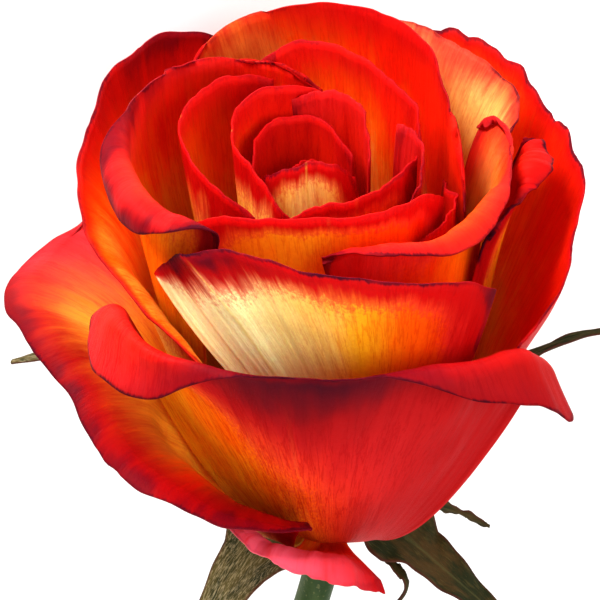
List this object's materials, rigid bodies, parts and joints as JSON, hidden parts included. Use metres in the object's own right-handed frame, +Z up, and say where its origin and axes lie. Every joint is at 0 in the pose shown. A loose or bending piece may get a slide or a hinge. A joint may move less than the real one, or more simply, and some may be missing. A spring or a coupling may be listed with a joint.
{
  "type": "cut rose",
  "caption": "Open garden-type rose bloom with nested waved petals, spreading sepals, hip and a short thorned stem, lying on its back petals.",
  "frame": {"origin": "centre of the bounding box on the surface that the rose lies on", "axes": "+Y from the bloom to the cut end of the stem along the surface, +Z up; the bloom opens toward -Y and up"},
  "size_m": [0.0906, 0.1614, 0.0754],
  "materials": {
    "petal": "velvety red-orange inside, cream to orange outside, dark margins",
    "sepal": "matte olive with fine pale hairs",
    "stem": "smooth satin green"
  },
  "bodies": {
    "root": {"petal_heart_1": "petal", "petal_heart_2": "petal", "petal_heart_3": "petal", "petal_heart_4": "petal", "petal_heart_5": "petal", "petal_inner_1": "petal", "petal_inner_2": "petal", "petal_inner_3": "petal", "petal_inner_4": "petal", "petal_inner_5": "petal", "petal_inner_6": "petal", "petal_inner_7": "petal", "petal_cup_left": "petal", "petal_cup_right": "petal", "petal_cup_back": "petal", "petal_cup_front": "petal", "petal_cup_back_right": "petal", "petal_outer_fold": "petal", "petal_outer_left": "petal", "petal_outer_right": "petal", "petal_outer_back": "petal", "petal_low_front": "petal", "petal_low_back_left": "petal", "petal_low_back_right": "petal", "petal_low_left": "petal", "petal_low_tail": "petal", "sepal_front_left": "sepal", "sepal_front_right": "sepal", "sepal_right": "sepal", "sepal_back": "sepal", "sepal_left": "sepal", "hip_and_receptacle": "stem", "stem": "stem"}
  },
  "joints": []
}
